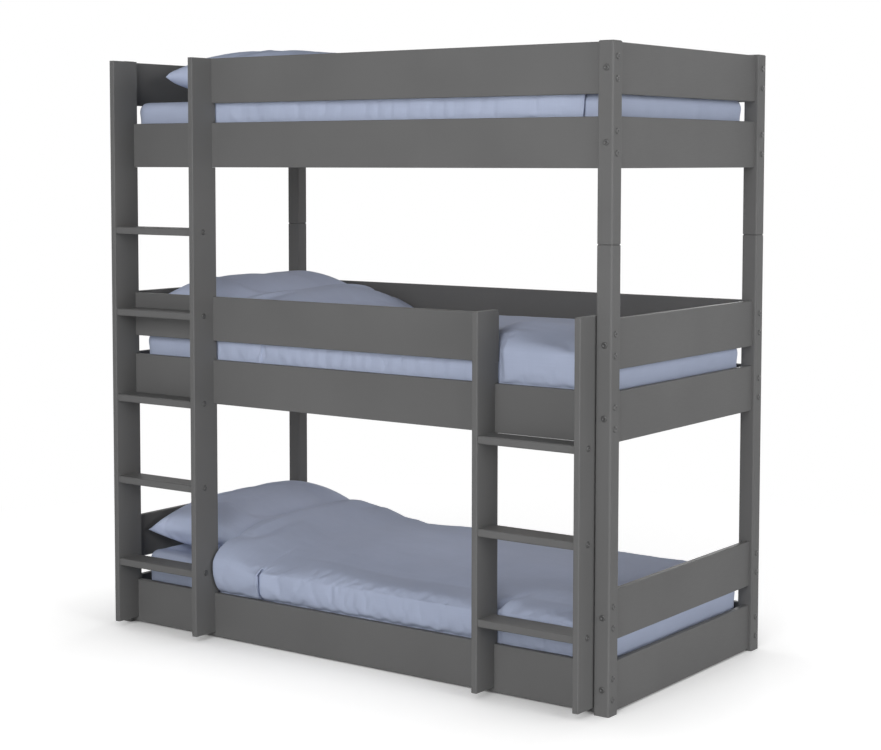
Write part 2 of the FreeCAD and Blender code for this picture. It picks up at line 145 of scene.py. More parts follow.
def add_object(name, data):
    """A new object in the scene."""
    thing = bpy.data.objects.new(name, data)
    bpy.context.scene.collection.objects.link(thing)
    return thing


def make_piece(name, vertices, faces, material, uvs=None):
    """A smooth mesh object, with a map of flat cloth coordinates where one is given."""
    mesh = bpy.data.meshes.new(name)
    mesh.from_pydata(np.asarray(vertices).tolist(), [], faces)
    mesh.shade_smooth()
    if uvs is not None:
        layer = mesh.uv_layers.new(name="cloth")
        corners = np.zeros(len(mesh.loops), np.int32)
        mesh.loops.foreach_get("vertex_index", corners)
        layer.data.foreach_set("uv", np.asarray(uvs, np.float32)[corners].ravel())
    mesh.materials.append(material)
    mesh.validate()
    return add_object(name, mesh)


def finish_soft(piece, node):
    """Hide the CAD solid that a soft piece stands for, and attach the piece to the root body."""
    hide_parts(node)
    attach(piece, "root")


def subdivide(piece):
    """One level of smoothing."""
    smoother = piece.modifiers.new("Smooth", "SUBSURF")
    smoother.levels = 1
    smoother.render_levels = 1


class Nodes:
    """Short hand for building the node tree of a material or a world."""

    def __init__(self, owner):
        self.owner = owner
        owner.use_nodes = True
        self.tree = owner.node_tree
        self.shader = self.tree.nodes.get("Principled BSDF")

    def add(self, kind, inputs=None, **settings):
        """A node with its settings; an input is a value or another node's output."""
        node = self.tree.nodes.new(kind)
        for key, value in settings.items():
            setattr(node, key, value)
        for key, value in (inputs or {}).items():
            self.put(node, key, value)
        return node

    def put(self, node, key, value):
        """Set one input, or link it where the value is another node's output."""
        if isinstance(value, bpy.types.NodeSocket):
            self.tree.links.new(value, node.inputs[key])
        else:
            node.inputs[key].default_value = value

    def coords(self, kind, scale=(1.0, 1.0, 1.0)):
        """Texture coordinates with a scale per axis."""
        source = self.add("ShaderNodeTexCoord")
        mapping = self.add("ShaderNodeMapping", {"Vector": source.outputs[kind], "Scale": scale})
        return mapping.outputs["Vector"]

    def noise(self, vector, scale, detail=3.0, roughness=0.5):
        """Noise from 0 to 1."""
        return self.add("ShaderNodeTexNoise", {"Vector": vector, "Scale": scale, "Detail": detail,
                                               "Roughness": roughness}).outputs["Fac"]

    def waves(self, vector, scale, distortion, detail=2.0, **settings):
        """Ribs or rings from 0 to 1."""
        return self.add("ShaderNodeTexWave", {"Vector": vector, "Scale": scale, "Distortion": distortion,
                                              "Detail": detail}, **settings).outputs["Fac"]

    def span(self, value, low, high, start=0.0, end=1.0):
        """Map a value from one range to another."""
        return self.add("ShaderNodeMapRange", {"Value": value, "From Min": start, "From Max": end,
                                               "To Min": low, "To Max": high}).outputs["Result"]

    def blend(self, share, first, second):
        """Mix two colours, whose places among a Mix node's inputs are 6 and 7."""
        return self.add("ShaderNodeMix", {0: share, 6: first, 7: second}, data_type="RGBA").outputs[2]

    def bump(self, height, strength, distance, normal=None):
        """A normal with some relief, on top of an earlier one where that is given."""
        inputs = {"Height": height, "Strength": strength, "Distance": distance}
        if normal is not None:
            inputs["Normal"] = normal
        return self.add("ShaderNodeBump", inputs).outputs["Normal"]

    def calc(self, operation, first, second):
        """Arithmetic on two values."""
        return self.add("ShaderNodeMath", {0: first, 1: second}, operation=operation).outputs[0]

    def mix(self, first, second, share):
        """Two values in one, the second with the share that is given."""
        rest = self.calc("MULTIPLY", first, 1 - share)
        return self.calc("ADD", rest, self.calc("MULTIPLY", second, share))

    def seen(self):
        """1 for what the camera sees, straight or by way of metal and glass, and 0 for light."""
        path = self.add("ShaderNodeLightPath").outputs
        straight_or_gloss = self.calc("MAXIMUM", path["Is Camera Ray"], path["Is Glossy Ray"])
        return self.calc("MAXIMUM", straight_or_gloss, path["Is Transmission Ray"])

    def finish(self, **inputs):
        """Set the shader's inputs and return the material."""
        for key, value in inputs.items():
            self.put(self.shader, key.replace("_", " "), value)
        return self.owner


def rgba(colour):
    """An opaque colour."""
    return (*colour, 1.0)


# Materials
PAINT = (0.140, 0.140, 0.140)
PAINT_DARK = (0.126, 0.126, 0.126)
# the lighter grey of the edges is a painted highlight
PAINT_EDGE_HIGHLIGHT = (0.165, 0.165, 0.164)
HIGHLIGHT_EDGE_WIDTH = 0.0035  # width of the eased edges, which are painted a little lighter as a painted highlight
EDGE_HIGHLIGHT_TURN = (0.72, 0.995)  # cosine of the eased edge's turn where the painted highlight is full, and where there is none
GRAIN_STRETCH = {"x": (0.05, 1.0, 1.0), "y": (1.0, 0.05, 1.0), "z": (1.0, 1.0, 0.05)}


def paint(axis):
    """Satin paint brushed over planed timber whose grain runs along one axis, its eased edges painted
    lighter as a highlight.
    """
    m = Nodes(bpy.data.materials.new(f"paint_grain_{axis}"))
    grain = m.coords("Object", GRAIN_STRETCH[axis])
    strokes = m.noise(grain, scale=420.0, detail=4.0, roughness=0.6)
    rings = m.noise(grain, scale=90.0)
    tone = m.noise(m.coords("Object"), scale=2.6)
    colour = m.blend(m.span(tone, low=0.0, high=1.0, start=0.3, end=0.7), rgba(PAINT_DARK), rgba(PAINT))
    # Painted highlight: where the bevelled normal turns away from the face's own, the edges are made
    # lighter
    geometry = m.add("ShaderNodeNewGeometry")
    eased = m.add("ShaderNodeBevel", {"Radius": HIGHLIGHT_EDGE_WIDTH}, samples=6)
    level = m.add("ShaderNodeVectorMath", {0: eased.outputs["Normal"], 1: geometry.outputs["Normal"]},
                  operation="DOT_PRODUCT").outputs["Value"]
    highlit = m.span(level, 1.0, 0.0, *EDGE_HIGHLIGHT_TURN)
    edge = m.calc("MULTIPLY", highlit, m.span(rings, low=0.5, high=1.0))
    colour = m.blend(edge, colour, rgba(PAINT_EDGE_HIGHLIGHT))
    rough = m.span(strokes, low=0.44, high=0.58, start=0.3, end=0.7)
    relief = m.bump(rings, strength=0.12, distance=0.0006)
    relief = m.bump(strokes, strength=0.10, distance=0.0003, normal=relief)
    return m.finish(Base_Color=colour, Roughness=rough, Normal=relief, Specular_IOR_Level=0.1)


PINE_LIGHT = (0.62, 0.43, 0.24)
PINE_DARK = (0.40, 0.24, 0.11)


def pine(axis):
    """Bare planed pine with its grain along one axis."""
    m = Nodes(bpy.data.materials.new(f"pine_grain_{axis}"))
    grain = m.coords("Object", GRAIN_STRETCH[axis])
    warp = m.span(m.noise(grain, scale=14.0), low=2.0, high=9.0)
    rings = m.waves(grain, scale=26.0, distortion=warp, detail=3.0, wave_type="RINGS")
    fibres = m.noise(grain, scale=600.0)
    colour = m.blend(m.mix(rings, fibres, share=0.3), rgba(PINE_LIGHT), rgba(PINE_DARK))
    return m.finish(Base_Color=colour, Roughness=m.span(fibres, low=0.55, high=0.75),
                    Normal=m.bump(fibres, strength=0.2, distance=0.0004))


STEEL_DARK = (0.42, 0.43, 0.45)
STEEL_LIGHT = (0.60, 0.61, 0.63)
STEEL_STRETCH = (1.0, 1.0, 0.04)


def steel():
    """Brushed zinc-plated steel."""
    m = Nodes(bpy.data.materials.new("pin_steel"))
    scratches = m.noise(m.coords("Object", STEEL_STRETCH), scale=900.0)
    colour = m.blend(scratches, rgba(STEEL_DARK), rgba(STEEL_LIGHT))
    return m.finish(Base_Color=colour, Metallic=1.0, Roughness=m.span(scratches, low=0.28, high=0.46),
                    Normal=m.bump(scratches, strength=0.08, distance=0.0002))


CAP_DARK = (0.045, 0.045, 0.045)
CAP_LIGHT = (0.070, 0.070, 0.070)


def cap_plastic():
    """Grey moulded caps over the bolts, darker than the paint."""
    m = Nodes(bpy.data.materials.new("bolt_cap"))
    speckle = m.noise(m.coords("Object"), scale=1500.0, detail=2.0)
    colour = m.blend(speckle, rgba(CAP_DARK), rgba(CAP_LIGHT))
    return m.finish(Base_Color=colour, Roughness=m.span(speckle, low=0.35, high=0.5),
                    Normal=m.bump(speckle, strength=0.1, distance=0.0002))


COTTON = (0.378, 0.426, 0.558)
COTTON_PALE = (0.412, 0.462, 0.600)
# pillows: the same cotton made lighter, a painted light that makes up for the shade they lie in
PILLOW_COTTON_LIT = (0.435, 0.490, 0.642)
PILLOW_COTTON_LIT_PALE = (0.474, 0.531, 0.690)
WEAVE_STEP = 0.018  # cloth to one unit of the wave textures, whose ribs are then 5.7 mm apart
SLUB_STRETCH = ((9.0, 420.0, 1.0), (420.0, 9.0, 1.0))  # of the uneven yarn along the cloth, and across


def cotton(name, light, dark):
    """Woven cotton: crossing ribs, uneven yarn, soft creases and a little sheen."""
    m = Nodes(bpy.data.materials.new(name))
    flat = m.coords("UV")
    solid = m.coords("Object")
    ribs = [m.waves(flat, scale=1 / WEAVE_STEP, distortion=0.4, bands_direction=way) for way in ("X", "Y")]
    weave = m.calc("MULTIPLY", *ribs)
    yarns = [m.noise(m.coords("UV", stretch), scale=1.0, detail=2.0) for stretch in SLUB_STRETCH]
    slub = m.calc("MULTIPLY", m.calc("ADD", *yarns), 0.5)
    tone = m.mix(slub, m.noise(solid, scale=7.0), share=0.4)
    colour = m.blend(m.span(tone, low=0.0, high=1.0, start=0.35, end=0.65), rgba(dark), rgba(light))
    creases = m.noise(solid, scale=26.0, detail=5.0, roughness=0.55)
    relief = m.bump(creases, strength=0.22, distance=0.004)
    relief = m.bump(slub, strength=0.10, distance=0.0004, normal=relief)
    relief = m.bump(weave, strength=0.15, distance=0.0002, normal=relief)
    return m.finish(Base_Color=colour, Roughness=m.span(slub, low=0.80, high=0.95), Normal=relief,
                    Sheen_Weight=0.02, Sheen_Roughness=0.45, Specular_IOR_Level=0.03)


# Bolt heads, each ring by its share of the radius and its height
BOLT_R = 0.0095
BOLT_RINGS = ((1.0, 0.0), (1.0, 0.0012), (0.93, 0.0022), (0.72, 0.0030), (0.42, 0.0033), (0.36, 0.0010))
BOLT_SIDES = 18
BOLT_PAIR = 0.0315  # from the middle of a board to each of two bolts
BOLT_INSET = 0.023  # from the outer corner of a post
SOCKET_SHARE = 0.5  # smaller rings make the hexagon socket
SIXTH = math.pi / 3  # of a turn, from one corner of the socket to the next
TREADS = {"tall": 5, "short": 3}


def dress_frame():
    """Paint, pine and steel on the CAD nodes that stay in view."""
    painted = {axis: paint(axis) for axis in GRAIN_STRETCH}
    bare = {axis: pine(axis) for axis in GRAIN_STRETCH}
    pins = steel()
    for name, node in nodes.items():
        if name == "post_pins":
            material = pins
        elif name.endswith("slats"):
            material = bare["y"]
        elif name.endswith("slat_bearers"):
            material = bare["x"]
        elif name.endswith(("post", "stile")):
            material = painted["z"]
        elif "head_" in name or "foot_" in name:
            material = painted["y"]
        else:
            material = painted["x"]
        node.data.materials.clear()
        node.data.materials.append(material)


def post_bolts():
    """Centre and outward direction of the bolt heads on the posts, three at each end of an end board."""
    places = []
    for side, y_out in (("front", -1), ("back", 1)):
        for end, x_out in (("head", -1), ("foot", 1)):
            low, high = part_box(f"{side}_{end}_lower_post")
            x_face = high.x if x_out > 0 else low.x
            y_face = high.y if y_out > 0 else low.y
            for bunk in BUNKS:
                for kind in ("rail", "guard"):
                    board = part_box(f"{bunk}_{end}_{kind}")
                    middle = (board[0].z + board[1].z) / 2
                    places.append(((x_face - x_out * BOLT_INSET, y_face, middle), (0, y_out, 0)))
                    for step in (-BOLT_PAIR, BOLT_PAIR):
                        places.append(((x_face, y_face - y_out * BOLT_INSET, middle + step), (x_out, 0, 0)))
    return places


def tread_bolts():
    """The same for the stiles, one at each end of a tread."""
    places = []
    for ladder, treads in TREADS.items():
        for hand, x_out in (("left", -1), ("right", 1)):
            low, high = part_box(f"{ladder}_ladder_{hand}_stile")
            x_face = high.x if x_out > 0 else low.x
            for number in range(1, treads + 1):
                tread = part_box(f"{ladder}_ladder_tread_{number}")
                centre = (tread[0] + tread[1]) / 2
                places.append(((x_face, centre.y, centre.z), (x_out, 0, 0)))
    return places


def bolt_ring(place, out, share, height):
    """Points of one ring of a bolt head."""
    up = Vector((0, 0, 1))
    side = up.cross(out)
    points = []
    for step in range(BOLT_SIDES):
        turn = 2 * math.pi * step / BOLT_SIDES
        spoke = share
        if share < SOCKET_SHARE:
            spoke = share * math.cos(SIXTH / 2) / math.cos(turn % SIXTH - SIXTH / 2)
        point = Vector(place) + BOLT_R * spoke * (math.cos(turn) * side + math.sin(turn) * up)
        points.append(point + out * height)
    return points


def make_bolts(material):
    """Domed heads with a hexagon socket, where boards are bolted to the posts and treads to the stiles."""
    vertices = []
    faces = []
    for place, out in post_bolts() + tread_bolts():
        rings = []
        for share, height in BOLT_RINGS:
            rings.append(range(len(vertices), len(vertices) + BOLT_SIDES))
            vertices.extend(bolt_ring(place, Vector(out), share, height))
        for inner, outer in zip(rings[1:], rings):
            for step in range(BOLT_SIDES):
                after = (step + 1) % BOLT_SIDES
                faces.append((outer[step], outer[after], inner[after], inner[step]))
        faces.append(tuple(rings[-1]))
    piece = make_piece("bolt_heads", vertices, faces, material)
    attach(piece, "root")


# Soft pieces
CELL = 0.0125  # mesh cell of a duvet before it is refined
MATTRESS_CELL = 0.020
SKIRT_CELLS = 16  # cells down the side of a soft piece
ROOM = 0.0012  # between soft pieces and what they lie on

# Cloth that settles under the pressure of its filling
SETTLE_FRAMES = 20
SETTLE_QUALITY = 6
CLOTH_MASS = 0.25
CLOTH_STIFFNESS = 14.0
CLOTH_BENDING = 0.02


def settle(points, faces, held, taut, pressure, slack, cap):
    """Points of a cloth after it has puffed up and wrinkled.

    Those that are held stay in place, and the slack fades out where taut is 1.
    """
    scene = bpy.context.scene
    mesh = bpy.data.meshes.new("settling")
    mesh.from_pydata(points.tolist(), [], faces)
    cloth_piece = add_object("settling", mesh)
    group = cloth_piece.vertex_groups.new(name="held")
    group.add(np.flatnonzero(held).tolist(), 1.0, "REPLACE")
    tight = cloth_piece.vertex_groups.new(name="taut")
    for number, weight in enumerate(taut.tolist()):
        tight.add([number], weight, "REPLACE")
    cloth = cloth_piece.modifiers.new("Cloth", "CLOTH").settings
    cloth.quality = SETTLE_QUALITY
    cloth.mass = CLOTH_MASS
    cloth.tension_stiffness = CLOTH_STIFFNESS
    cloth.compression_stiffness = CLOTH_STIFFNESS
    cloth.shear_stiffness = CLOTH_STIFFNESS / 2
    cloth.bending_stiffness = CLOTH_BENDING
    cloth.use_pressure = True
    cloth.uniform_pressure_force = pressure
    cloth.shrink_min = -slack
    cloth.shrink_max = 0.0
    cloth.vertex_group_shrink = tight.name
    cloth.vertex_group_mass = group.name
    cloth.effector_weights.gravity = 0
    for number in range(1, SETTLE_FRAMES + 1):
        scene.frame_set(number)
    settled = cloth_piece.evaluated_get(bpy.context.evaluated_depsgraph_get()).data
    after = np.zeros(points.size, np.float32)
    settled.vertices.foreach_get("co", after)
    bpy.data.objects.remove(cloth_piece)
    bpy.data.meshes.remove(mesh)
    scene.frame_set(1)
    move = after.reshape(points.shape) - points
    length = np.linalg.norm(move, axis=1, keepdims=True)
    return points + move * np.minimum(1, cap / np.maximum(length, TINY))


def skirted(length, cell):
    """Shares along a core of some length with a skirt at each end, and the depth into those skirts."""
    skirt = np.linspace(0, 1, SKIRT_CELLS + 1)[1:]
    core = np.linspace(0, 1, int(length / cell))
    shares = np.concatenate([0 * skirt, core, 0 * skirt + 1])
    depths = np.concatenate([-skirt[::-1], 0 * core, skirt])
    return shares, depths


def two_sided(top, base):
    """Vertices and faces of a closed form from two grids that share their rim."""
    rows, cols, size = top.shape
    top_ids = np.arange(rows * cols).reshape(rows, cols)
    base_ids = top_ids.copy()
    inner = base[1:-1, 1:-1]
    base_ids[1:-1, 1:-1] = top_ids.size + np.arange(inner[..., 0].size).reshape(inner.shape[:2])
    vertices = np.concatenate([top.reshape(-1, size), inner.reshape(-1, size)])
    return vertices, grid_faces(top_ids) + grid_faces(base_ids[:, ::-1])


# Mattress in a fitted sheet
MATTRESS_R = 0.055  # width of the skirt that makes its rounded border
MATTRESS_ROLL = 0.034  # rounding of its edges
MATTRESS_WAIST = 0.004  # its sides draw in this far
MATTRESS_CROWN = 0.004
CROWN_POWER = 4  # the larger, the flatter its top
MATTRESS_SEED = 1
MATTRESS_HEAD = by_bunk(0.0, 0.0, 0.030)  # it reaches this much nearer to the head
MATTRESS_RISE = by_bunk(0.022, 0.0, 0.0)  # its front corner at the head swells up
FRONT_SWELL = ((0.1, 0.35), (0.05, 0.16))  # that swell fades at these distances from head and front
HEAD_SWELL = ((0.015, 0.06), (0.25, 0.5))  # or at these, along the head end
SHEET_RUCK = 0.0042  # height of the sheet's small folds
RUCK_SCALE = (26, 26, 6)
RUCK_SINK = 0.85  # share of that height by which they lie further in
FLAT_SHARE = 0.35  # part of the skirt that is still flat
ROLL_SHARE = 0.40  # part of it that turns the edge


def mattress_border(deep, half_height):
    """Reach out of the core, drop from the top and share of the upright side, by depth in the skirt."""
    roll = np.clip((deep - FLAT_SHARE) / ROLL_SHARE, 0, 1) * QUARTER
    fall = np.clip((deep - FLAT_SHARE - ROLL_SHARE) / (1 - FLAT_SHARE - ROLL_SHARE), 0, 1)
    flat = (MATTRESS_R - MATTRESS_ROLL) * np.clip(deep / FLAT_SHARE, 0, 1)
    reach = flat + MATTRESS_ROLL * np.sin(roll) - MATTRESS_WAIST * np.sin(fall * QUARTER)
    drop = MATTRESS_ROLL * (1 - np.cos(roll)) + (half_height - MATTRESS_ROLL) * fall
    return reach, drop, fall


def mattress_swell(from_head, from_front):
    """Share of the swell at the front corner of the head end."""
    along_front, along_head = [fade_out(*by_head, from_head) * fade_out(*by_front, from_front)
                               for by_head, by_front in (FRONT_SWELL, HEAD_SWELL)]
    return np.maximum(along_front, along_head)


def make_mattress(bunk, material):
    """A mattress in a fitted sheet: crowned top, soft edges, drawn-in sides with small folds."""
    low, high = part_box(f"{bunk}_mattress")
    low.x -= MATTRESS_HEAD[bunk]
    core_low = low + Vector((MATTRESS_R, MATTRESS_R, 0))
    core_size = high - low - Vector((2 * MATTRESS_R, 2 * MATTRESS_R, 0))
    half_height = (high.z - low.z) / 2
    middle = (low.z + high.z) / 2
    u, p = skirted(core_size.x, MATTRESS_CELL)
    v, q = skirted(core_size.y, MATTRESS_CELL)
    deep, along, across = spread(p[:, None], q[None, :])
    crown = (1 - (2 * u[:, None] - 1) ** CROWN_POWER) * (1 - (2 * v[None, :] - 1) ** CROWN_POWER)
    reach, drop, fall = mattress_border(deep, half_height)
    x = core_low.x + u[:, None] * core_size.x + along * reach
    y = core_low.y + v[None, :] * core_size.y + across * reach
    height = half_height - drop - MATTRESS_CROWN * (1 - crown) * (1 - fall)
    swell = mattress_swell(x - low.x, y - low.y) * (1 - fall)
    top = np.stack([x, y, middle + height + MATTRESS_RISE[bunk] * swell], axis=-1)
    base = np.stack([x, y, middle - height], axis=-1)
    folds = noise_at(top, RUCK_SCALE, MATTRESS_SEED + BUNKS.index(bunk)) - RUCK_SINK
    ruck = SHEET_RUCK * folds * smooth_step(FLAT_SHARE, FLAT_SHARE + ROLL_SHARE, deep)
    shift = (ruck * np.stack([along, across, 0 * along])).transpose(1, 2, 0)
    vertices, faces = two_sided(top + shift, base + shift)
    flat = np.stack([x + along * drop, y + across * drop], axis=-1)
    piece = make_piece(f"{bunk}_mattress_soft", vertices, faces, material, two_sided(flat, flat)[0])
    subdivide(piece)
    finish_soft(piece, f"{bunk}_mattress")


# Pillows
PILLOW_CELLS = 64
PILLOW_SEAM = 0.084  # height of the seam over the mattress
PILLOW_BELLY = 0.090  # depth of the under side below the seam
PILLOW_PULL = 0.050  # share by which the sides pull in between the corners
PULL_POWER = 3  # the larger, the nearer to the seam it does so
PILLOW_CREST = by_bunk(-0.28, -0.30, 0.22)  # fullest place, from head -1 to foot 1
PILLOW_HEAD = (2.4, 0.6)  # powers of its dome from there to the head
PILLOW_FOOT = (1.6, 0.9)
PILLOW_FRONT = (2.6, 0.6)
PILLOW_BACK = (3.6, 0.5)
PILLOW_PRESS = 0.075  # the duvet presses the foot side's seam down this far
PRESS_POWER = 1.5
PILLOW_SHIFT = by_bunk(0.0, 0.0, 0.015)  # towards the foot
PILLOW_EAR = by_bunk(0.08, 0.08, 0.0)  # share by which the corners reach out
EAR_POWER = 6
PILLOW_LUMP = 0.0015  # unevenness of its filling
LUMP_SCALE = (6, 5, 6)
LUMP_POWER = 4  # the larger, the nearer to the seam it fades
PILLOW_LOOSE = (0.5, 0.8)  # share of the way to the seam where its case starts to be loose, and is
PILLOW_PRESSURE = 0.5
PILLOW_SLACK = 0.018
PILLOW_CAP = 0.010  # no point settles further than this
PILLOW_SEED = 11


def dome(share, power, root):
    """1 where the share is 0 and 0 where it is 1, the flatter on top the larger the power."""
    return (1 - share ** power) ** root


def pillow_puff(u, v, crest):
    """How full a pillow is, from 1 at its crest to 0 at the seam."""
    to_head = dome(np.clip((crest - u) / (1 + crest), 0, 1), *PILLOW_HEAD)
    to_foot = dome(np.clip((u - crest) / (1 - crest), 0, 1), *PILLOW_FOOT)
    across = np.where(v < 0, dome(abs(v), *PILLOW_FRONT), dome(abs(v), *PILLOW_BACK))
    return to_head * to_foot * across


def make_pillow(bunk, material):
    """A plump pillow with pointed corners, flat where it rests, its case wrinkled along the seams."""
    low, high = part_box(f"{bunk}_pillow")
    centre = (low + high) / 2
    half = (high - low) / 2
    side = np.linspace(-1, 1, PILLOW_CELLS + 1)
    u, v = np.meshgrid(side, side, indexing="ij")
    outward = np.maximum(abs(u), abs(v))
    ear = PILLOW_EAR[bunk] * (u * v) ** EAR_POWER
    pull_x = PILLOW_PULL * (1 - v ** 2) * abs(u) ** PULL_POWER
    pull_y = PILLOW_PULL * (1 - u ** 2) * abs(v) ** PULL_POWER
    x = centre.x + PILLOW_SHIFT[bunk] + half.x * u * (1 - pull_x)
    y = centre.y + half.y * v * (1 - pull_y + ear)
    seam = low.z + PILLOW_SEAM - PILLOW_PRESS * np.clip(u, 0, 1) ** PRESS_POWER
    puff = pillow_puff(u, v, PILLOW_CREST[bunk])
    top = np.stack([x, y, seam + (high.z - seam) * puff], axis=-1)
    base = np.stack([x, y, seam - PILLOW_BELLY * puff], axis=-1)
    base[..., 2] = np.maximum(base[..., 2], low.z + ROOM)
    lumps = noise_at(top, LUMP_SCALE, PILLOW_SEED + BUNKS.index(bunk))
    top[..., 2] += PILLOW_LUMP * lumps * (1 - outward ** LUMP_POWER)
    vertices, faces = two_sided(top, base)
    rests = vertices[:, 2] < low.z + 2 * ROOM
    taut = fade_out(*PILLOW_LOOSE, outward)[..., None]
    taut = two_sided(taut, taut)[0].ravel()
    vertices = settle(vertices, faces, rests, taut, PILLOW_PRESSURE, PILLOW_SLACK, PILLOW_CAP)
    vertices[:, 2] = np.maximum(vertices[:, 2], low.z + ROOM)
    flat = np.stack([x, y], axis=-1)
    piece = make_piece(f"{bunk}_pillow_soft", vertices, faces, material, two_sided(flat, flat)[0])
    subdivide(piece)
    finish_soft(piece, f"{bunk}_pillow")
    return piece


def height_over(piece, x, y, below):
    """Height of a piece's top at each place, or the given height where it isn't."""
    tree = BVHTree.FromObject(piece, bpy.context.evaluated_depsgraph_get())
    heights = np.full(x.shape, below)
    for spot in np.ndindex(x.shape):
        hit = tree.ray_cast(Vector((x[spot], y[spot], below + 1)), Vector((0, 0, -1)), 1.0)
        if hit[0] is not None:
            heights[spot] = hit[0].z
    return heights


def widen(heights, steps):
    """The highest of each cell and its neighbours, a few times over."""
    rows, cols = heights.shape
    for _ in range(steps):
        wide = np.pad(heights, 1, mode="edge")
        heights = np.max([wide[i:i + rows, j:j + cols] for i in range(3) for j in range(3)], axis=0)
    return heights


def soften(heights, steps):
    """Even out a grid of heights."""
    for _ in range(steps):
        wide = np.pad(heights, 1, mode="edge")
        beside = wide[:-2, 1:-1] + wide[2:, 1:-1] + wide[1:-1, :-2] + wide[1:-1, 2:]
        heights = (beside + 4 * heights) / 8
    return heights


# Duvets. A span gives where something starts to change and where it has changed. Spans and shares down
# a side are parts of its skirt, from 0 at the edge of the flat top to 1 at the hem.
DUVET_SEED = 31
DUVET_SEEDS = 10  # for each duvet

# Its head end, folded and turned back as a band that ends in a crease
NOSE = 0.018  # rounding of the folded head end
NOSE_ROWS = 9
NOSE_SLIM = 0.6  # share that the rounding loses at the front
BAND_W = 0.190  # turned-back band, from the head end to its crease
LEAD = by_bunk(-0.046, -0.046, -0.02)  # the middle of the head end, towards the foot
LEAD_SIDE = by_bunk(-0.003, 0.038, 0.12)  # its front end, towards the head from there
LEAD_BACK = 0.4  # share of that at the back
LEAD_POWER = 3.5
CREASE_SHIFT = by_bunk(-0.006, -0.061, 0.0)
CREASE_LEAN = by_bunk(0.026, 0.0, 0.0)  # how far it runs to the head on its way down
LEAN_SPAN = (0.25, 0.8)
CREASE_DEPTH = by_bunk(1.0, 0.6, 0.0)  # share of the full crease that shows
CREASE_BACK = 0.6  # share of that at the back
CREASE_SPAN = (0.24, 0.42)  # it shows from here down
CREASE_WANDER = ((0.004, 3, 5), (0.006, 1, 17), (0.005, 1, 33))  # size, and rates across and down
FOLD = np.array(((-0.016, 0.0), (-0.009, 0.0020), (-0.005, 0.0025), (-0.002, 0.0010), (0.0, -0.003),
                 (-0.0015, -0.007), (-0.003, -0.0095), (-0.001, -0.0105), (0.0015, -0.008),
                 (0.004, -0.0035), (0.009, -0.0012), (0.018, -0.0006)))  # section: along the bed, and up
FOLD_TAIL = (0, 0.12)  # part of the cloth down the bed over which its last dip runs out
FOLD_HELD = -0.006  # cloth deeper in the crease than this doesn't move

# Heights over the mattress
CROWN = by_bunk(0.082, 0.068, 0.080)  # along the middle, beside the band
CROWN_FOOT = by_bunk(0.068, 0.062, 0.070)  # and further down the bed
EDGE = by_bunk(0.052, 0.032, 0.050)  # the same at the edge of the flat top
EDGE_FOOT = by_bunk(0.038, 0.032, 0.038)
DOWN_SPAN = (0.20, 0.44)  # from the band's end to further down the bed
FOOT_FALL = 0.36  # length over which the crown falls to the foot end
FOOT_LOSS = 0.15  # share that it loses there
LEVEL_POWER = 2.1  # the larger, the flatter the top
BAND_POWER = 1.4  # added over the pillow
FRONT_FULL = by_bunk(0.0, 0.042, 0.0)  # added to the front where no guard holds it
FREE_SPAN = (0.40, 0.58)  # X, where the guard ends
FREE_ACROSS = (0.1, 0.85)  # from the middle to the front
CROWN_LIFT = 0.062  # what the pillow under the band adds
EDGE_LIFT = 0.058
BAND_FALL = by_bunk((-0.5, 1.3), (0.1, 1.0), (0.2, 1.2))  # span of that lift's fall, in band widths
COVER = 0.012  # thickness of the duvet over the pillow
COVER_SOFT = 0.012  # how softly it rises over it
COVER_CELLS = 2  # it takes the pillow to be this many cells wider
COVER_STEPS = 40  # of softening

# Its sides, which bulge over the rails and are tucked behind them
CORE_INSET = 0.095  # the flat top ends this far from the rails
FOOT_REACH = 0.075  # skirt over the foot end
FOOT_NECK = FOOT_REACH - 0.006  # the same at its neck
FOOT_SPAN = (0.0, 0.035)  # round the foot's corners, where the hem leaves the rails for the mattress
SHOULDER_SHARE = 0.5  # part of a skirt that is the shoulder
NECK_SHARE = 0.8  # part of a skirt down to the top of the rail
NECK_INSET = 0.0045  # the cloth passes this far inside the rail
NECK_RISE = 0.0035  # and over the top of it
NECK_FOOT = 0.003  # and over the mattress at the foot
NECK_RIPPLE = 0.003
RIPPLE_RATE = 24
HEM_RIPPLE = by_bunk(1.0, 0.3, 0.3)  # share of the waves where the hem meets the rail
BULGE_HEIGHT = 0.012  # of the fullest place over the mattress
BULGE_FOOT = 0.02  # added at the foot
BULGE_LIFT = 0.012  # added over the pillow
BEHIND_GUARD = -0.0035  # sides held back by a guard stop short of it
FRONT_BULGE = by_bunk(0.029, BEHIND_GUARD, BEHIND_GUARD)
BACK_BULGE = by_bunk(0.020, BEHIND_GUARD, BEHIND_GUARD)
OPENING_BULGE = by_bunk(0.008, 0.014, BEHIND_GUARD)  # between the short ladder's stiles
OPENING_EASE = (0.002, 0.022)  # from those stiles
STILE_BULGE = 0.0015  # behind a ladder's stile
STILE_EASE = (0.035, 0.004)  # before that stile
BAND_BULGE = by_bunk(0.015, 0.0, 0.0)  # added at the band
BAND_SPAN = (-0.02, 0.08)  # from the crease
BULGE_SPARE = by_bunk(0.008, 0.002, 0.002)  # room for the cloth to settle further out
SPARE_SHARE = 0.3  # of the bulge, at most
SPARE_LEAST = 0.002
RAIL_ROOM = 0.004  # between the top of a rail and cloth that bulges over it

# Its under side, by depth into the skirt
UNDER_DEPTH = (0, 0.35, 0.5, 1.0)
UNDER_REACH = (0, 0.066, 0.0855, 0.0855)
UNDER_DROP = (0, 0, 0.014, 0.014)
UNDER_FOOT_DEPTH = (0, 0.5, 1.0)
UNDER_FOOT_REACH = (0, 0.04, 0.066)

